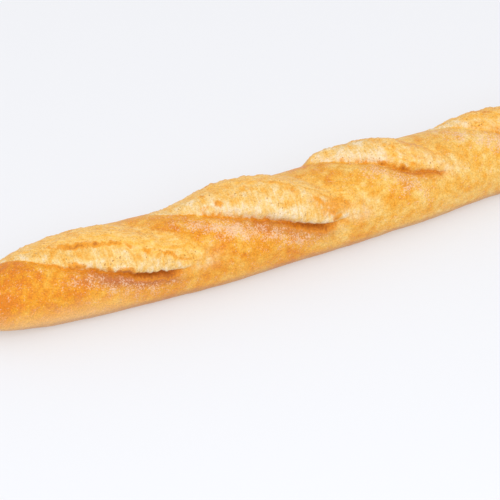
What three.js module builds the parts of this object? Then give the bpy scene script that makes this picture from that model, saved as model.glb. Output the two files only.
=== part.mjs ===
// A baguette: one long crusty loaf, baked on its flat underside and slashed five times on a slant.
// Millimetres. +X runs along the loaf, +Z is up, and the slashes run down towards -Y.
// The origin is on the table, under the middle of the loaf.
import * as THREE from 'three';

// ---- Driving dimensions ----

const LENGTH = 580;                 // tip to tip
const TIP_TAPER = 95;               // length over which each end narrows
const TIP_BLUNTNESS = 2.2;          // higher is blunter
const CENTRE_HEIGHT = 0.42;         // height of the widest line, as a share of the loaf's height
const SIDE_ROUNDNESS = 2.6;         // superellipse power of the lower sides
const TOP_ROUNDNESS = 2.15;         // superellipse power of the upper half
const UNDERSIDE_DIP = 1.15;         // how far the lower curve would pass the table, which flattens it

// The proved loaf at stations along its length: half width, height, and how far it lies aside in Y.
const STATIONS = [
  { x: -290, halfWidth: 32.0, height: 51.0, aside: -1.6 },
  { x: -240, halfWidth: 31.0, height: 50.0, aside: 2.9 },
  { x: -190, halfWidth: 31.0, height: 50.0, aside: 0.4 },
  { x: -120, halfWidth: 31.0, height: 50.0, aside: -4.1 },
  { x: -40, halfWidth: 32.5, height: 52.0, aside: -2.6 },
  { x: 40, halfWidth: 32.5, height: 52.0, aside: -1.6 },
  { x: 110, halfWidth: 31.0, height: 50.0, aside: 2.4 },
  { x: 200, halfWidth: 31.5, height: 50.0, aside: 3.9 },
  { x: 290, halfWidth: 31.0, height: 50.0, aside: 1.9 },
];

// Each slash runs along the loaf from start to end, while its near lip goes round the loaf from a
// high angle to a low one (0 is the near side, 90 the top). Sweep is how fast that lip drops at
// first, and farSweep how long the far lip stays high. Belly is where the near lip sags, as a share
// of the slash, and by how many degrees. Swell is how high the burst crust rises, between the two
// places in swells, and carry is how many millimetres past the far lip the swelling reaches. The
// slit under the near lip closes between the two shares of the slash in closes.
const SLASHES = [
  { start: -259, end: -125, high: 120, low: 17, sweep: 2.35, farSweep: 2.2, belly: [0.25, 9],
    swell: 6.2, swells: [-262, -184], carry: 20, closes: [0.76, 0.94] },
  { start: -150, end: -6, high: 116, low: 17, sweep: 1.55, farSweep: 3.0, belly: [0.73, 5],
    swell: 11.4, swells: [-147, -90], carry: 31, closes: [0.76, 0.94] },
  { start: -23, end: 68, high: 122, low: 37, sweep: 1.12, farSweep: 4.0, belly: [0.66, 7],
    swell: 7.5, swells: [-30, -14], carry: 30, closes: [0.90, 1.0] },
  { start: 74, end: 201, high: 127, low: 19, sweep: 1.8, farSweep: 2.2, belly: [0.7, 5],
    swell: 5.2, swells: [71, 119], carry: 16, closes: [0.82, 0.97] },
  { start: 172, end: 262, high: 118, low: 24, sweep: 1.6, farSweep: 2.6, belly: [0.5, 5],
    swell: 6.0, swells: [165, 192], carry: 20, closes: [0.86, 1.0] },
];
const MM_PER_DEGREE = 0.51;         // one degree round the loaf, on its crust
const BELLY_SPREAD = 0.13;          // how much of the slash a belly takes up
const FAR_LIP_START = 6;            // degrees between the lips where a slash starts
const LIP_WIDTH = 1.4;              // the burst crust steps up from the near lip over this width
const LIP_POWER = 1.3;              // higher makes that step a sharper one
const LIP_SHARE = 0.55;             // how much of its height the crust gains in the step
const CREST_SHARE = 0.5;            // it is highest this share of the way to the far lip
const SHORT_CARRY = 6;              // how far every swelling reaches past the far lip
const SLIT_DEPTH = 2.4;             // depth of the slit under the near lip
const SLIT_PLACE = -1.4;            // its middle, measured from the lip
const SLIT_WIDTH = 2;
const HOLLOW_DEPTH = 2.2;           // the near crust sinks towards the slit
const HOLLOW_WIDTH = 7;             // over about this width

// Shares of a slash from its start, between which these things happen.
const SWELLING_FADES = [0.6, 1.04];
const CARRY_FADES = [0.35, 0.85];
const SLIT_OPENS = [0.02, 0.35];
const SLIT_DEEPENS = [0.25, 0.62];

// ---- The mesh: rings of points along the loaf ----

const RINGS = 148;
const RING_POINTS = 32;
const TIP_SPACING = 1.6;            // power that draws rings towards the tips
const LIP_CROWDING = 2.2;           // how much closer ring points lie along a near lip
const LIP_REACH = 16;               // degrees either side of the lip where they do
const LIP_ENDS = 0.1;               // share of a slash, past its ends, where that fades out
const ANGLE_STEPS = 720;            // steps round a ring when its points are shared out

const { clamp, smoothstep, degToRad } = THREE.MathUtils;

// Value of one station measure at x, on a smooth curve through the stations.
function along(measure, x) {
  const last = STATIONS.length - 2;
  const i = clamp(STATIONS.findIndex((s) => s.x >= x) - 1, 0, last);
  const at = (k) => STATIONS[clamp(k, 0, last + 1)];
  const [before, from, to, after] = [at(i - 1), at(i), at(i + 1), at(i + 2)];
  const span = to.x - from.x;
  const t = (x - from.x) / span;
  const slope = (a, b) => (b[measure] - a[measure]) / Math.max(b.x - a.x, span);
  const slopeFrom = slope(before, to) * span;
  const slopeTo = slope(from, after) * span;
  return from[measure] * (2 * t ** 3 - 3 * t ** 2 + 1) + slopeFrom * (t ** 3 - 2 * t ** 2 + t)
    + to[measure] * (3 * t ** 2 - 2 * t ** 3) + slopeTo * (t ** 3 - t ** 2);
}

// Share of the full section that is left at x: 1 along the loaf, falling to 0 at each tip.
function taper(x) {
  const inwards = Math.min((LENGTH / 2 - Math.abs(x)) / TIP_TAPER, 1);
  return Math.sqrt(Math.max(1 - (1 - inwards) ** TIP_BLUNTNESS, 0));
}

// Distance from the loaf's centre line to its plain surface, at an angle round it.
function plainRadius(x, angle) {
  const height = along('height', x);
  const upper = angle >= 0 && angle <= 180;
  const power = upper ? TOP_ROUNDNESS : SIDE_ROUNDNESS;
  const wide = along('halfWidth', x);
  const high = upper ? height * (1 - CENTRE_HEIGHT) : height * CENTRE_HEIGHT * UNDERSIDE_DIP;
  const across = Math.abs(Math.cos(degToRad(angle)) / wide) ** power;
  const upwards = Math.abs(Math.sin(degToRad(angle)) / high) ** power;
  return taper(x) * (across + upwards) ** (-1 / power);
}

// Angle of a slash's near lip at x.
function nearLip(slash, x) {
  const t = clamp((x - slash.start) / (slash.end - slash.start), 0, 1);
  const [where, depth] = slash.belly;
  const belly = depth * Math.exp(-(((t - where) / BELLY_SPREAD) ** 2));
  return slash.low + (slash.high - slash.low) * (1 - t) ** slash.sweep - belly;
}

// How far along a slash x is, the angles of its lips, and millimetres across it for each degree.
function lips(slash, x) {
  const t = (x - slash.start) / (slash.end - slash.start);
  const drop = slash.high - slash.low;
  const slope = ((nearLip(slash, x + 1) - nearLip(slash, x - 1)) / 2) * MM_PER_DEGREE;
  return {
    t,
    near: nearLip(slash, x),
    far: slash.low + (drop + FAR_LIP_START) * (1 - clamp(t, 0, 1) ** slash.farSweep),
    across: MM_PER_DEGREE / Math.hypot(1, slope),
  };
}

// How far a slash lifts the surface (or sinks it, below 0) at an angle round the loaf.
function slashRelief(slash, x, angle) {
  const { t, near, far, across } = lips(slash, x);
  const past = (angle - near) * across;
  const width = (far - near) * across;
  const crest = CREST_SHARE * width;
  const height = slash.swell * smoothstep(x, ...slash.swells) * (1 - smoothstep(t, ...SWELLING_FADES));
  const step = 1 - Math.exp(-((Math.max(past, 0) / LIP_WIDTH) ** LIP_POWER));
  const slope = smoothstep(past, 0, crest + LIP_WIDTH);
  const carry = SHORT_CARRY + slash.carry * (1 - smoothstep(t, ...CARRY_FADES));
  const burst = (LIP_SHARE * step + (1 - LIP_SHARE) * slope)
    * (1 - smoothstep(past, crest, width + carry));
  const depth = (smoothstep(t, ...SLIT_OPENS) + smoothstep(t, ...SLIT_DEEPENS)) / 2;
  const open = depth * (1 - smoothstep(t, ...slash.closes));
  const slit = SLIT_DEPTH * Math.exp(-(((past - SLIT_PLACE) / SLIT_WIDTH) ** 2));
  const hollow = HOLLOW_DEPTH
    * (past < 0 ? Math.exp(past / HOLLOW_WIDTH) : Math.exp(-past / SLIT_WIDTH));
  return height * burst - open * (slit + hollow);
}

// Angles of one ring's points, from the middle of the underside round the near side and the top.
// They crowd together along the near lips, so that the slits are sharp.
function ringAngles(x) {
  const weights = Array.from({ length: ANGLE_STEPS }, (_, i) => {
    const angle = -90 + (360 * (i + 0.5)) / ANGLE_STEPS;
    return SLASHES.reduce((sum, slash) => {
      const { t, near } = lips(slash, x);
      const begun = smoothstep(t, -LIP_ENDS, LIP_ENDS);
      const ended = smoothstep(t, 1 - LIP_ENDS, 1 + LIP_ENDS);
      const closeness = Math.exp(-(((angle - near) / LIP_REACH) ** 2));
      return sum + LIP_CROWDING * (begun - ended) * closeness;
    }, 1);
  });
  const total = weights.reduce((sum, weight) => sum + weight, 0);
  const angles = [-90];
  let passed = 0;
  weights.forEach((weight, i) => {
    const target = (angles.length * total) / RING_POINTS;
    if (passed + weight >= target && angles.length < RING_POINTS) {
      angles.push(-90 + (360 * (i + (target - passed) / weight)) / ANGLE_STEPS);
    }
    passed += weight;
  });
  return angles;
}

function surfacePoint(x, angle) {
  const lift = SLASHES.reduce((sum, slash) => sum + slashRelief(slash, x, angle), 0);
  const radius = plainRadius(x, angle) + lift * Math.sqrt(taper(x));
  const centre = along('height', x) * CENTRE_HEIGHT;
  const y = along('aside', x) - radius * Math.cos(degToRad(angle));
  const z = Math.max(centre + radius * Math.sin(degToRad(angle)), 0);
  return [x, y, z];
}

function loafGeometry() {
  const points = [];
  const faces = [];
  for (let i = 0; i < RINGS; i += 1) {
    const u = (2 * (i + 1)) / (RINGS + 1) - 1;
    const x = (LENGTH / 2) * Math.sign(u) * (1 - (1 - Math.abs(u)) ** TIP_SPACING);
    points.push(...ringAngles(x).map((angle) => surfacePoint(x, angle)));
  }
  const corner = (ring, k) => ring * RING_POINTS + (k % RING_POINTS);
  for (let i = 0; i < RINGS - 1; i += 1) {
    for (let k = 0; k < RING_POINTS; k += 1) {
      const quad = [corner(i, k), corner(i, k + 1), corner(i + 1, k + 1), corner(i + 1, k)];
      faces.push([quad[0], quad[2], quad[1]], [quad[0], quad[3], quad[2]]);
    }
  }
  for (const side of [-1, 1]) {
    const x = (side * LENGTH) / 2;
    const tip = points.push([x, along('aside', x), along('height', x) * CENTRE_HEIGHT]) - 1;
    const ring = side < 0 ? 0 : RINGS - 1;
    for (let k = 0; k < RING_POINTS; k += 1) {
      const edge = [corner(ring, k), corner(ring, k + 1)];
      faces.push(side < 0 ? [tip, edge[0], edge[1]] : [tip, edge[1], edge[0]]);
    }
  }
  const geometry = new THREE.BufferGeometry();
  geometry.setAttribute('position', new THREE.Float32BufferAttribute(points.flat(), 3));
  geometry.setIndex(faces.flat());
  geometry.computeVertexNormals();
  return geometry;
}

const crust = new THREE.MeshStandardMaterial({ color: 0xeba851, roughness: 0.75, metalness: 0 });
const loaf = new THREE.Mesh(loafGeometry(), crust);
loaf.name = 'baguette';

const baguette = new THREE.Group();
baguette.add(loaf);
export default baguette;
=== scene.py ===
import math

import bpy
import numpy as np
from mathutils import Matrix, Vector, noise


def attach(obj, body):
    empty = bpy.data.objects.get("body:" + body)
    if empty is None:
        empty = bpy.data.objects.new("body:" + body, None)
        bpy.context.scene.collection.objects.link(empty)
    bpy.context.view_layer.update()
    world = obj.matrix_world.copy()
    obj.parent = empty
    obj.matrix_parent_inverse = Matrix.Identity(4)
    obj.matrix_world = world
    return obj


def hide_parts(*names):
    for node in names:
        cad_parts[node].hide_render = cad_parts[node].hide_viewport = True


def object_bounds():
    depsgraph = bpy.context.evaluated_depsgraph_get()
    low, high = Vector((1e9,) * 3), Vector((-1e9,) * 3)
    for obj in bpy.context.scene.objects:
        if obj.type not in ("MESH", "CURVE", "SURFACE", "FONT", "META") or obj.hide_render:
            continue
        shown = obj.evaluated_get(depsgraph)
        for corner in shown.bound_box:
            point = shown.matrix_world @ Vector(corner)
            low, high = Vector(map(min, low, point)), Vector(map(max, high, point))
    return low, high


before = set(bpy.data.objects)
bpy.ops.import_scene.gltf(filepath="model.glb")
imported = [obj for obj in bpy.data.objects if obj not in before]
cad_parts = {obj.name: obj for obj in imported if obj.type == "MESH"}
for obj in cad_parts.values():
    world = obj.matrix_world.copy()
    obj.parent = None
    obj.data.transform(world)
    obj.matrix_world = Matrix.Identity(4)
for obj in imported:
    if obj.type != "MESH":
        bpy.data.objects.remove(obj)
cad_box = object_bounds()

# ---- The loaf ----
# One piece of bread: dough rolled into a long stick, proved, and baked on its flat underside.
# It swells unevenly, so its width, height and line wander a little, and five slanting cuts made
# before baking burst open in the oven. Sizes in this section are in millimetres.

MM = 0.001
LENGTH = round((cad_box[1][0] - cad_box[0][0]) / MM)
TIP_TAPER = 95
TIP_BLUNTNESS = 2.2
CENTRE_HEIGHT = 0.42
SIDE_ROUNDNESS = 2.6
TOP_ROUNDNESS = 2.15
UNDERSIDE_DIP = 1.15

# along the loaf: place, half width, height, how far the loaf lies aside
STATIONS = np.array([
    (-290, 32.0, 51.0, -1.6),
    (-240, 31.0, 50.0, 2.9),
    (-190, 31.0, 50.0, 0.4),
    (-120, 31.0, 50.0, -4.1),
    (-40, 32.5, 52.0, -2.6),
    (40, 32.5, 52.0, -1.6),
    (110, 31.0, 50.0, 2.4),
    (200, 31.5, 50.0, 3.9),
    (290, 31.0, 50.0, 1.9),
])

# Each cut runs from the far side at its start down to the near side at its end.
# high, low: the near lip's angle at those ends (0 near side, 90 top, 180 far side)
# sweep, far: how strongly the near and the far lip bend
# belly: the share along the cut where the near lip sags, and by how many degrees
# swell, swells, carry: height of the new crust, the two places between which it grows to that
#     height, and how far it is carried on past the far lip
# closes: the shares along the cut between which the slit shuts
# crease: depth of the late fold in the pale crust, and how strongly painted shade darkens it
# line: the browned line, its share across the cut and its strength
# shade, dark, lip: painted shade on the crust below the slit, the slit's browning with painted shade,
# the toasted lip's browning
# dusted: the shares along the cut over which flour settles below the slit
# browns: the shares along the cut between which pale crust turns golden, and how far it does
# toasts: browned spots, each a share along, a share across, a length, a breadth and a strength
SLASHES = [
    dict(start=-259, end=-125, high=120, low=17, sweep=2.35, far=2.2, belly=(0.25, 9),
         swell=6.2, swells=(-262, -184), carry=20, crease=0.5, dusted=(0.3, 0.5), line=(0.5, 0.5),
         shade=1.0, lip=1.0, dark=1.12, closes=(0.76, 0.94), browns=(0.74, 0.94, 0.75),
         toasts=[(0.36, 0.42, 13, 2.2, 1.6), (0.46, 0.46, 4, 1.8, 1.2), (0.54, 0.52, 6, 1.8, 1.0),
                 (0.61, 0.52, 2, 1.2, 1.2), (0.69, 0.47, 3, 1.6, 0.9), (0.80, 0.56, 6, 1.5, 0.8),
                 (0.40, 0.85, 12, 1.6, 0.6), (0.56, 0.95, 9, 1.4, 0.5), (0.24, 0.5, 6, 1.2, 0.5),
                 (0.34, 0.06, 8, 1.6, 1.2), (0.49, 0.05, 4, 1.2, 0.9), (0.58, 0.05, 7, 1.7, 1.4)]),
    dict(start=-150, end=-6, high=116, low=17, sweep=1.55, far=3.0, belly=(0.73, 5.0),
         swell=11.4, swells=(-147, -90), carry=31, crease=0.2, dusted=(-0.1, 0.2), line=(0.72, 0.2),
         shade=0.6, lip=0.6, dark=0.9, closes=(0.76, 0.94), browns=(0.8, 0.97, 0.75),
         toasts=[(0.25, 0.52, 4, 1.5, 0.9), (0.24, 0.14, 6, 1.0, 0.8), (0.30, 0.22, 5, 2.2, 1.1),
                 (0.37, 0.36, 3, 2.2, 0.8), (0.45, 0.5, 5, 1.6, 0.8), (0.65, 0.55, 5, 2.0, 0.9),
                 (0.84, 0.46, 24, 7.0, 0.8), (0.75, 0.5, 6, 2.0, 0.6), (0.82, 0.3, 4, 1.4, 0.7),
                 (0.34, 1.05, 9, 1.5, 0.9), (0.50, 0.95, 10, 1.4, 0.4), (0.84, 0.15, 4, 1.0, 1.0)]),
    dict(start=-23, end=68, high=122, low=37, sweep=1.12, far=4.0, belly=(0.66, 7),
         swell=7.5, swells=(-30, -14), carry=30, crease=0.0, dusted=(0.2, 0.5), line=(0.9, 0.2),
         shade=0.2, lip=0.7, dark=0.55, closes=(0.90, 1.0), browns=(0.3, 0.6, 0.6),
         toasts=[(0.30, 0.55, 6, 1.4, 0.6), (0.50, 0.55, 9, 3.4, 0.6), (0.62, 0.3, 4, 1.4, 0.8),
                 (0.75, 0.8, 11, 6.0, 0.8), (0.45, 1.0, 12, 1.6, 0.6), (0.80, 0.9, 6, 1.6, 0.6),
                 (0.48, 0.03, 5, 0.9, 0.9), (0.62, 0.03, 4, 0.9, 1.1), (0.76, 0.04, 4, 0.9, 1.0)]),
    dict(start=74, end=201, high=127, low=19, sweep=1.8, far=2.2, belly=(0.7, 5),
         swell=5.2, swells=(71, 119), carry=16, crease=0.4, dusted=(-0.2, 0.1), line=(0.6, 0.3),
         shade=0.5, lip=0.3, dark=0.8, closes=(0.82, 0.97), browns=(0.0, 0.25, 0.6),
         toasts=[(0.30, 0.66, 12, 1.4, 1.2), (0.42, 0.8, 9, 1.4, 1.0), (0.50, 0.45, 8, 1.6, 0.7),
                 (0.66, 0.5, 6, 2.0, 0.9), (0.80, 0.5, 5, 1.6, 0.7)]),
    dict(start=172, end=262, high=118, low=24, sweep=1.6, far=2.6, belly=(0.5, 5),
         swell=6.0, swells=(165, 192), carry=20, crease=0.6, dusted=(0.0, 0.3), line=(0.55, 0.4),
         shade=0.7, lip=0.8, dark=0.8, closes=(0.86, 1.0), browns=(0.7, 0.95, 0.7),
         toasts=[(0.32, 0.5, 6, 1.6, 0.9), (0.48, 0.48, 5, 1.8, 0.8), (0.66, 0.5, 5, 1.6, 0.9),
                 (0.45, 0.95, 10, 1.5, 0.6)]),
]

# skin along one degree and one radian round the loaf, then the sizes of lips, slits and their marks
MM_PER_DEGREE = 0.51
MM_PER_RADIAN = 29
BELLY_SHARE = 0.13
OPENING_DEGREES = 6
WIDE_TEETH = 9
FINE_TEETH = 3.2
LIP_STEP = 1.4
SLIT_BELOW_LIP = 1.4
SLIT_BREADTH = 2.0
SLIT_DEPTH = 1.2
OVERHANG = 1.2
TOAST_LINE_BREADTH = 1.5
FLOUR_BELOW_LIP = 10

RINGS = 680
RING_POINTS = 138
TIP_CROWDING = 1.35
UNDERSIDE_CROWDING = 0.35
LIP_CROWDING = 1.6


def smoothstep(low, high, value):
    t = np.clip((value - low) / (high - low), 0, 1)
    return t * t * (3 - 2 * t)


def bell(distance, breadth):
    return np.exp(-((distance / breadth) ** 2))


def plateau(value, start, full, fade, end):
    """0 up to start, 1 from full to fade, 0 again from end."""
    return smoothstep(start, full, value) * (1 - smoothstep(fade, end, value))


def through_stations(x, column):
    """A smooth curve through one column of the stations."""
    place, value = STATIONS[:, 0], STATIONS[:, column]
    slope = np.gradient(value, place)
    i = np.clip(np.searchsorted(place, x) - 1, 0, len(place) - 2)
    span = place[i + 1] - place[i]
    t = (x - place[i]) / span
    from_left = value[i] * (2 * t**3 - 3 * t**2 + 1) + slope[i] * span * (t**3 - 2 * t**2 + t)
    from_right = value[i + 1] * (3 * t**2 - 2 * t**3) + slope[i + 1] * span * (t**3 - t**2)
    return from_left + from_right


def taper(x):
    inwards = np.clip((LENGTH / 2 - np.abs(x)) / TIP_TAPER, 0, 1)
    return np.sqrt(np.clip(1 - (1 - inwards) ** TIP_BLUNTNESS, 0, 1))


def plain_radius(x, angle):
    height = through_stations(x, 2)
    upper = np.sin(angle) >= 0
    power = np.where(upper, TOP_ROUNDNESS, SIDE_ROUNDNESS)
    wide = through_stations(x, 1)
    high = np.where(upper, height * (1 - CENTRE_HEIGHT), height * CENTRE_HEIGHT * UNDERSIDE_DIP)
    across = np.abs(np.cos(angle) / wide) ** power
    upwards = np.abs(np.sin(angle) / high) ** power
    return taper(x) * (across + upwards) ** (-1 / power)


def grain(points, size, octaves=3, seed=0.0):
    """Noise from about -1 to 1 whose lumps are about this size."""
    flat = (points / size + seed).reshape(-1, 3)
    values = [noise.fractal(p, 1.0, 2.0, octaves) for p in flat.tolist()]
    return np.array(values).reshape(points.shape[:-1])


def lips(slash, x):
    """Share along the cut, and the angles of its near and far lips."""
    t = (x - slash["start"]) / (slash["end"] - slash["start"])
    inside = np.clip(t, 0, 1)
    drop = slash["high"] - slash["low"]
    where, depth = slash["belly"]
    near = slash["low"] + drop * (1 - inside) ** slash["sweep"] - depth * bell(t - where, BELLY_SHARE)
    far = slash["low"] + (drop + OPENING_DEGREES) * (1 - inside ** slash["far"])
    return t, near, far


# rings along the loaf, closer together at the tips
end_to_end = np.linspace(-1, 1, RINGS)
crowded = 1 - (1 - np.abs(end_to_end)) ** TIP_CROWDING
ring_x = LENGTH / 2 * np.sign(end_to_end) * crowded

# angles round each ring, every half degree from the middle of the underside, are weighed so that
# points lie sparsely on the underside and crowd along the ragged near lips
steps = np.linspace(-90, 270, 721)
middles = (steps[1:] + steps[:-1]) / 2
visible = smoothstep(-62, -38, middles) - smoothstep(190, 225, middles)
weight = UNDERSIDE_CROWDING + (1 - UNDERSIDE_CROWDING) * visible
weight = np.repeat(weight[None], RINGS, 0)
ragged = []
for number, slash in enumerate(SLASHES):
    t, near, far = lips(slash, ring_x)
    spine = np.stack([ring_x, near * MM_PER_DEGREE, np.full(RINGS, 40.0 * number)], -1)
    teeth = 0.6 * grain(spine, WIDE_TEETH, 2, 3.0) + 1.3 * grain(spine, FINE_TEETH, 2, 7.0)
    ragged.append(teeth * smoothstep(0.05, 0.3, t) / MM_PER_DEGREE)
    inside = plateau(t, -0.1, 0.06, 0.94, 1.08)
    offset = middles[None] - (near + ragged[number])[:, None]
    weight = weight + inside[:, None] * LIP_CROWDING * bell(offset - 1, 9)
passed = np.concatenate([np.zeros((RINGS, 1)), np.cumsum(weight, 1)], 1)
share = np.linspace(0, 1, RING_POINTS + 1)
ring_angle = np.stack([np.interp(share * p[-1], p, steps) for p in passed])

x = np.repeat(ring_x[:, None], RING_POINTS + 1, 1)
angle = np.radians(ring_angle)
centre_y, centre_z = through_stations(x, 3), through_stations(x, 2) * CENTRE_HEIGHT
radius = plain_radius(x, angle)
place = np.stack([x, centre_y - radius * np.cos(angle), centre_z + radius * np.sin(angle)], -1)

# the burst cuts: new crust wells up, hangs over a slit at the near lip, and is toasted in streaks;
# t is the share along a cut, run the way along its lip, and past the way across beyond that lip
lift = np.zeros_like(x)
shift_round = np.zeros_like(x)
shift_along = np.zeros_like(x)
names = ("pale", "gold", "toast", "slit", "shade", "flour", "tip", "along", "across")
masks = {name: np.zeros_like(x) for name in names}
lumps = grain(place, 7, 3, 11.0)
fine_lumps = grain(place, 2.4, 3, 17.0)
wander = grain(place, 16, 2, 41.0)
for number, slash in enumerate(SLASHES):
    t, near, far = lips(slash, ring_x)

    # the ways along and across the slanting lip, over the skin
    slope = np.clip(np.radians(np.gradient(near, ring_x)) * MM_PER_RADIAN, -4, 0)
    cosine = 1 / np.sqrt(1 + slope**2)
    sine = (-slope * cosine)[:, None]
    run = np.concatenate([[0], np.cumsum(np.diff(ring_x) / cosine[1:])])[:, None]
    past = (ring_angle - (near + ragged[number])[:, None]) * MM_PER_DEGREE * cosine[:, None]
    width = ((far - near) * MM_PER_DEGREE * cosine)[:, None]
    cosine, t = cosine[:, None], t[:, None]
    inside = plateau(t, -0.02, 0.03, 0.95, 1.02)

    # the pillow of new crust steps up at the near lip and runs out past the far one
    grown = smoothstep(*slash["swells"], ring_x)[:, None] * (1 - smoothstep(0.6, 1.04, t))
    carry = 6 + slash["carry"] * (1 - smoothstep(0.35, 0.85, t))
    step_up = 1 - np.exp(-((np.clip(past, 0, None) / LIP_STEP) ** 1.3))
    up = 0.55 * step_up + 0.45 * smoothstep(0, 0.5 * width + 2, past)
    down = 1 - smoothstep(0.5 * width, width + carry, past)
    lift += slash["swell"] * grown * up * down

    # the slit opens, deepens and shuts along the near lip, in a hollow of the skin round it
    gaping = 1 - smoothstep(*slash["closes"], t)
    opened = smoothstep(0.02, 0.35, t) * gaping
    deep = smoothstep(0.25, 0.62, t) * gaping
    slit = bell(past + SLIT_BELOW_LIP, SLIT_BREADTH)
    hollow = np.where(past < 0, np.exp(np.clip(past, -60, 0) / 7), np.exp(-np.clip(past, 0, None) / 2))
    lift -= SLIT_DEPTH * (opened + deep) * slit + (0.8 * opened + 1.4 * deep) * hollow

    # rough crumb inside the cut, a late fold, and the rim where the far lip tore
    line_at, line_strength = slash["line"]
    toast_line = width * line_at + 1.6 * wander
    crumb = smoothstep(-0.3, 1.5, past) * (1 - smoothstep(width + 1, width + 5 + carry, past)) * inside
    crease = slash["crease"] * bell(past - toast_line, 0.9) * plateau(t, 0.7, 0.8, 0.86, 0.95)
    rim = bell(past - 1.05 * width, 1.2) * plateau(t, 0.2, 0.35, 0.7, 0.9)
    lift += crumb * (0.75 * lumps + 0.6 * fine_lumps) - crease - 0.6 * rim

    # the near lip hangs over the slit, pushed square to its line
    overhang = OVERHANG * (0.3 * opened + 0.7 * deep) * bell(past - 1.2, 2.2) * (past > -4)
    shift_round -= overhang * cosine
    shift_along -= overhang * sine

    # masks that the skin's colours follow: pale by the near lip, golden beyond it, brown in the slit
    # with painted shade there
    reach = np.clip(past / np.maximum(toast_line, 3), 0, 3)
    browns_from, browns_to, browned = slash["browns"]
    fresh = inside * (1 - browned * smoothstep(browns_from, browns_to, t))
    masks["pale"] += fresh * smoothstep(-0.5, 0.7, past) * (1 - smoothstep(0.55, 1.15, reach))
    faded = smoothstep(width, width + 11 + 0.8 * carry, past)
    onset = smoothstep(-0.02, 0.03 + 0.005 * np.clip(past - 4, 0, 60), t)
    golden = onset * (1 - smoothstep(0.95, 1.02, t))
    masks["gold"] += golden * smoothstep(-0.5, 0.7, past) * (1 - faded)
    # the slit's browning, darkened further as painted shade in the recess under the lip
    slit_edge = -(1.6 + 2.2 * deep + 2.0 * bell(t - 0.76, 0.12)) + lumps + 0.8 * fine_lumps
    baked = smoothstep(slit_edge - 4.0, slit_edge + 2.5, past) * (1 - smoothstep(-0.6, 1.2, past))
    masks["slit"] += slash["dark"] * inside * opened * (0.55 + 0.6 * smoothstep(0.5, 0.72, t)) * baked
    tip_run = np.interp(slash["end"], ring_x, run[:, 0])
    masks["tip"] += bell(run - tip_run + 4, 12) * bell(past - 3, 6)
    # painted shade on the crust just below each near lip, where the lip overhangs it
    masks["shade"] += slash["shade"] * plateau(t, 0.25, 0.5, 0.75, 0.92) * bell(past + 6, 5)
    line = bell(past - toast_line, TOAST_LINE_BREADTH) * smoothstep(0.15, 0.35, t)
    # the browned line and the toasted rim, and painted shade along the late fold
    masks["toast"] += line_strength * inside * line + 0.7 * crease + 0.6 * rim
    lip_teeth = bell(past - 0.2, 1.1) * plateau(t, 0.12, 0.22, 0.62, 0.75)
    masks["toast"] += slash["lip"] * lip_teeth * (0.7 + 1.2 * fine_lumps)
    for along, across, long, broad, strength in slash["toasts"]:
        at = slash["start"] + along * (slash["end"] - slash["start"])
        at_run = np.interp(at, ring_x, run[:, 0])
        at_past = across * np.interp(at, ring_x, width[:, 0])
        spot = bell(run - at_run, long * 0.75) * bell(past - at_past - 0.9 * lumps, broad)
        masks["toast"] += strength * spot
    dusted = smoothstep(*slash["dusted"], t) * (1 - smoothstep(0.6, 0.9, t))
    masks["flour"] += (dusted + 0.6 * bell(t - 0.31, 0.09)) * bell(past + FLOUR_BELOW_LIP, 7)
    beside = (inside > 0) & (past > -8) & (past < width + 8)
    masks["along"] = np.where(beside, run + 300 * number, masks["along"])
    masks["across"] = np.where(beside, past, masks["across"])

# uneven proving, and fine pebbles where the crust wasn't cut; all relief fades out at the tips
crust_share = 1 - np.clip(masks["gold"], 0, 1)
swelling = 0.9 * grain(place, 48, 2, 23.0) + 0.35 * grain(place, 14, 2, 29.0)
pebbles = 0.10 * grain(place, 2.2, 2, 31.0) * crust_share
thickness = np.sqrt(taper(x))
radius = radius + (lift + swelling + pebbles) * thickness
round_angle = angle + shift_round * thickness / np.maximum(radius, 5)
place = np.stack([
    x + shift_along * thickness,
    centre_y - radius * np.cos(round_angle),
    np.maximum(centre_z + radius * np.sin(round_angle), 0),
], -1)
place[0] = place[0].mean(0)
place[-1] = place[-1].mean(0)

# a flat grid is wrapped into the loaf, and its seam and tips are closed
bpy.ops.object.select_all(action="DESELECT")
bpy.ops.mesh.primitive_grid_add(x_subdivisions=RINGS - 1, y_subdivisions=RING_POINTS, size=1)
loaf = bpy.context.object
loaf.name = "loaf"
flat = np.zeros(len(loaf.data.vertices) * 3, np.float32)
loaf.data.vertices.foreach_get("co", flat)
flat = flat.reshape(-1, 3)
ring = np.rint((flat[:, 0] + 0.5) * (RINGS - 1)).astype(int)
step = np.rint((flat[:, 1] + 0.5) * RING_POINTS).astype(int)
loaf.data.vertices.foreach_set("co", (place[ring, step] * MM).astype(np.float32).ravel())
for name, mask in masks.items():
    attribute = loaf.data.attributes.new(name, "FLOAT", "POINT")
    attribute.data.foreach_set("value", mask[ring, step].astype(np.float32))
loaf.data.update()
bpy.ops.object.mode_set(mode="EDIT")
bpy.ops.mesh.select_all(action="SELECT")
bpy.ops.mesh.remove_doubles(threshold=1e-6)
bpy.ops.mesh.normals_make_consistent(inside=False)
bpy.ops.object.mode_set(mode="OBJECT")
bpy.ops.object.shade_smooth()

# The skin: thin baked crust, gold to deep orange and freckled; pale where the cuts burst open.
# Heights and places in it are in metres, sizes of its lumps in millimetres.
STUDIO_LIGHT = 1.26
TIP_STARTS = 0.235
BOUNCE_LIGHT_BELOW = 0.039
BROWNED_AND_SHADED_RIM_BELOW = 0.0135


def paint(red, green, blue):
    """The bread's own colour that looks like this one, 0 to 255, in the studio's light."""
    shares = [c / 255 for c in (red, green, blue)]
    linear = [c / 12.92 if c <= 0.04045 else ((c + 0.055) / 1.055) ** 2.4 for c in shares]
    return [c / STUDIO_LIGHT for c in linear] + [1.0]


crust = bpy.data.materials.new("baked_crust")
crust.use_nodes = True
tree = crust.node_tree
shader = tree.nodes["Principled BSDF"]


def plug_in(plugs, sockets):
    for plug, socket in zip(plugs, sockets):
        if isinstance(plug, bpy.types.NodeSocket):
            tree.links.new(plug, socket)
        elif plug is not None:
            socket.default_value = plug


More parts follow.
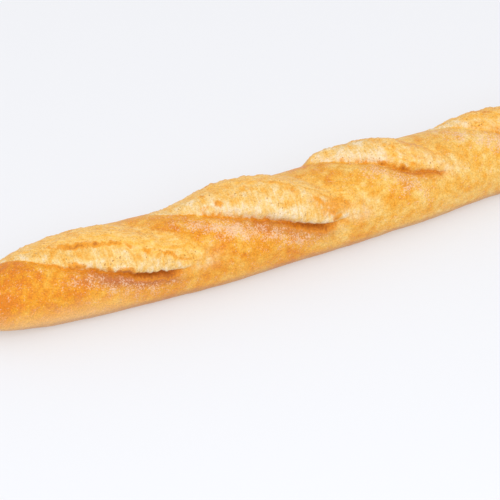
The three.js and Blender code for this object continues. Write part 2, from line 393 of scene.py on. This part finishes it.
def add(kind, *plugs, out=0, **settings):
    """A node of this kind with its inputs filled in order; gives back one of its outputs."""
    node = tree.nodes.new("ShaderNode" + kind)
    for name, value in settings.items():
        setattr(node, name, value)
    plug_in(plugs, [i for i in node.inputs if i.enabled])
    return [o for o in node.outputs if o.enabled][out]


def mask_of(name):
    return add("Attribute", attribute_name=name, out=2)


def speckle(size, detail=3.0):
    """Noise from 0 to 1 whose lumps are about this size."""
    return add("TexNoise", object_place, 1 / (size * MM), detail, 0.6)


def calc(operation, *plugs):
    return add("Math", *plugs, operation=operation)


def stray(value, share):
    """Noise with its middle moved from 0.5 to 0, and as strong as this share."""
    return calc("MULTIPLY", calc("SUBTRACT", value, 0.5), share)


def mixture(*parts):
    """Noises that each stray by their own share, added up round 0.5."""
    total = 0.5
    for value, share in parts:
        total = calc("ADD", total, stray(value, share))
    return total


def held(value, low, high):
    return calc("MAXIMUM", calc("MINIMUM", value, high), low)


def between(value, low, high):
    """0 below low, 1 above high, smooth between."""
    return add("MapRange", value, low, high, 0.0, 1.0, interpolation_type="SMOOTHSTEP")


def ramp(value, *stops):
    node = tree.nodes.new("ShaderNodeValToRGB")
    elements = node.color_ramp.elements
    while len(elements) < len(stops):
        elements.new(0.5)
    for element, (position, colour) in zip(elements, stops):
        element.position = position
        element.color = colour
    tree.links.new(value, node.inputs[0])
    return node.outputs[0]


def blend(share, under, over):
    node = tree.nodes.new("ShaderNodeMix")
    node.data_type = "RGBA"
    plug_in((share, under, over), (node.inputs["Factor"], node.inputs[6], node.inputs[7]))
    return node.outputs[2]


def coat(under, mask, strength, colour):
    """The skin under it, coated as strongly as this where the mask is 1."""
    return blend(calc("MULTIPLY", mask, strength), under, colour)


object_place = add("TexCoord", out=3)
place_x, place_z = (add("SeparateXYZ", object_place, out=k) for k in (0, 2))

# baked crust, mottled at three sizes, deeper towards the -X end and at the tips, paler low on the sides
# with painted bounce light
mottle = speckle(5.5)
freckle = speckle(1.5, 2.0)
tone = mixture((speckle(22, 2.0), 1.1), (mottle, 0.9), (freckle, 0.5))
tone = calc("ADD", tone, calc("MULTIPLY", held(place_x, -0.225, 0.07), 1.3))
tip = between(calc("ABSOLUTE", place_x), TIP_STARTS, LENGTH / 2 * MM)
tone = calc("SUBTRACT", tone, calc("MULTIPLY", tip, 0.08))
skin = ramp(
    tone,
    (0.0, paint(234, 134, 10)),
    (0.28, paint(245, 160, 26)),
    (0.5, paint(250, 180, 62)),
    (0.75, paint(255, 203, 104)),
    (1.0, paint(258, 223, 152)),
)
# painted light: the lower sides are made paler as if lit from below by the pale table, most at the -X
# end
ragged_height = calc("ADD", place_z, calc("MULTIPLY", mottle, 0.016))
low = calc("SUBTRACT", 1.0, between(ragged_height, 0.013, BOUNCE_LIGHT_BELOW))
bounce_light_share = calc("ADD", calc("MULTIPLY", between(place_x, -0.15, -0.22), 0.78), 0.12)
skin = coat(skin, low, bounce_light_share, paint(255, 204, 132))

# the underside and its rim, browned flat on the tray, with painted contact shade up the rim
ragged_sole = calc("ADD", place_z, stray(mottle, 0.004))
sole_and_contact_shade = between(ragged_sole, BROWNED_AND_SHADED_RIM_BELOW, 0.0070)
skin = coat(skin, sole_and_contact_shade, 0.5, paint(198, 138, 100))

# flour from the proving cloth, a thin dust in flecks that lies thickest in front of the near lips
# painted shade: the crust below each near lip is darkened where the overhanging lip shades it
skin = blend(mask_of("shade"), skin, paint(202, 116, 58))
fleck = mixture((speckle(1.0, 2.0), 1.3), (speckle(6, 2.0), 0.7))
fleck = calc("ADD", fleck, calc("MULTIPLY", mask_of("flour"), 0.23))
skin = coat(skin, between(fleck, 0.62, 0.90), 0.78, paint(252, 206, 168))

# new crust in the cuts: golden with streaks along the cut, pale and stretched near the lip
along, across = mask_of("along"), mask_of("across")
strand_place = add("CombineXYZ", along, calc("MULTIPLY", across, 0.22), 0.0)
streak_place = add("CombineXYZ", calc("MULTIPLY", along, 0.2), across, 0.0)
strands = add("TexNoise", strand_place, 1 / 1.5, 3.0, 0.6)
streaks = add("TexNoise", streak_place, 1 / 2.2, 3.0, 0.6)
gold_tone = mixture((streaks, 1.5), (mottle, 0.9), (freckle, 0.5))
gold_place = calc("ADD", held(place_x, -0.2, 0.06), 0.04)
gold_tone = calc("SUBTRACT", gold_tone, calc("MULTIPLY", gold_place, 0.6))
gold = ramp(
    gold_tone,
    (0.0, paint(248, 154, 30)),
    (0.3, paint(259, 186, 66)),
    (0.55, paint(264, 205, 98)),
    (0.85, paint(266, 222, 142)),
)
ragged_edge = stray(mottle, 0.9)
gold_share = between(calc("ADD", mask_of("gold"), ragged_edge), 0.15, 0.85)
skin = coat(skin, gold_share, 0.85, gold)
pale_tone = mixture((strands, 0.9), (speckle(8), 1.5), (mottle, 0.7), (freckle, 0.4))
pale_tone = calc("ADD", pale_tone, calc("MULTIPLY", calc("MINIMUM", place_x, 0.02), 0.9))
pale_tone = calc("ADD", pale_tone, calc("MULTIPLY", between(across, 9.0, 1.0), 0.22))
pale = ramp(
    pale_tone,
    (0.0, paint(246, 166, 48)),
    (0.3, paint(252, 194, 96)),
    (0.55, paint(254, 212, 138)),
    (0.85, paint(257, 230, 188)),
)
pale_share = between(calc("ADD", mask_of("pale"), ragged_edge), 0.2, 0.8)
pale_tip = calc("MULTIPLY", mask_of("tip"), calc("MULTIPLY", mottle, 1.2))
pale_share = calc("MAXIMUM", pale_share, pale_tip)
skin = blend(pale_share, skin, pale)

# toasted spots (painted shade along the late folds), the browned slit under each near lip with painted
# shade in it, and pin holes
toast = calc("ADD", mask_of("toast"), stray(speckle(3.2), 1.3))
skin = coat(skin, between(toast, 0.25, 0.95), 0.9, paint(247, 158, 28))
skin = coat(skin, between(toast, 1.0, 1.7), 0.8, paint(200, 114, 26))
pits = mixture((speckle(1.3, 0.0), 1.6), (speckle(9), 0.9), (gold_share, 0.2))
skin = coat(skin, between(pits, 1.04, 1.12), 0.7, paint(184, 116, 46))
ragged_slit = mixture((speckle(2.2), 0.9), (strands, 0.7))
slit = calc("ADD", mask_of("slit"), calc("SUBTRACT", ragged_slit, 0.5))
# painted shade: the slit is coloured darker than its browning alone, deepest under the lip
skin = coat(skin, between(slit, 0.15, 0.75), 0.9, paint(233, 142, 22))
skin = coat(skin, between(slit, 0.65, 1.25), 0.9, paint(190, 101, 12))

# crust crystals, a fine grain that is only lighter and darker
crystal = calc("ADD", mixture((speckle(0.9, 2.0), 0.8), (freckle, 0.3)), 0.5)
skin = add("VectorMath", skin, crystal, operation="SCALE")
tree.links.new(skin, shader.inputs["Base Color"])

tree.links.new(mixture((freckle, 0.5), (mottle, 0.4)), shader.inputs["Roughness"])
shader.inputs["Specular IOR Level"].default_value = 0.25
shader.inputs["Sheen Weight"].default_value = 0.10
shader.inputs["Sheen Roughness"].default_value = 0.45
blisters = mixture((speckle(1.1), 1.2), (speckle(3.0), 0.9), (strands, 0.5))
tree.links.new(add("Bump", 0.7, 0.0007, 0.1, blisters), shader.inputs["Normal"])
loaf.data.materials.append(crust)

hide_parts("baguette")
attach(loaf, "root")

# ---- Floor, light and camera ----
# A pale table, which glows a little so that shadows on it stay soft, under a big soft light and
# even light from all round. The camera looks down on the loaf from its near side.

bpy.ops.mesh.primitive_plane_add(size=12)
floor = bpy.context.object
floor.name = "floor"
paper = bpy.data.materials.new("pale_table")
paper.use_nodes = True
table = paper.node_tree.nodes["Principled BSDF"]
table.inputs["Base Color"].default_value = (0.40, 0.43, 0.475, 1)
table.inputs["Roughness"].default_value = 0.9
table.inputs["Emission Color"].default_value = (0.98, 0.902, 0.844, 1)
table.inputs["Emission Strength"].default_value = 0.43
floor.data.materials.append(paper)

world = bpy.data.worlds.new("studio")
bpy.context.scene.world = world
world.use_nodes = True
world.node_tree.nodes["Background"].inputs["Color"].default_value = (0.96, 0.98, 1.0, 1)
world.node_tree.nodes["Background"].inputs["Strength"].default_value = 0.98

light_data = bpy.data.lights.new("softbox", "AREA")
light_data.shape = "RECTANGLE"
light_data.size, light_data.size_y = 1.2, 1.0
light_data.energy = 10.5
softbox = bpy.data.objects.new("softbox", light_data)
bpy.context.scene.collection.objects.link(softbox)
softbox.location = (-0.4, -1.0, 1.1)
softbox.rotation_euler = (-softbox.location).to_track_quat("-Z", "Y").to_euler()

TURN, ELEVATION = math.radians(-26), math.radians(38)
DISTANCE = 1.3
LOOKED_AT = Vector((-0.0782, 0.0012, 0))
level = math.cos(ELEVATION)
back = Vector((math.sin(TURN) * level, -math.cos(TURN) * level, math.sin(ELEVATION)))
camera_data = bpy.data.cameras.new("camera")
camera_data.lens = 132.9
camera = bpy.data.objects.new("camera", camera_data)
bpy.context.scene.collection.objects.link(camera)
camera.location = LOOKED_AT + back * DISTANCE
camera.rotation_euler = (-back).to_track_quat("-Z", "Y").to_euler()
bpy.context.scene.camera = camera
bpy.context.scene.view_settings.view_transform = "Standard"
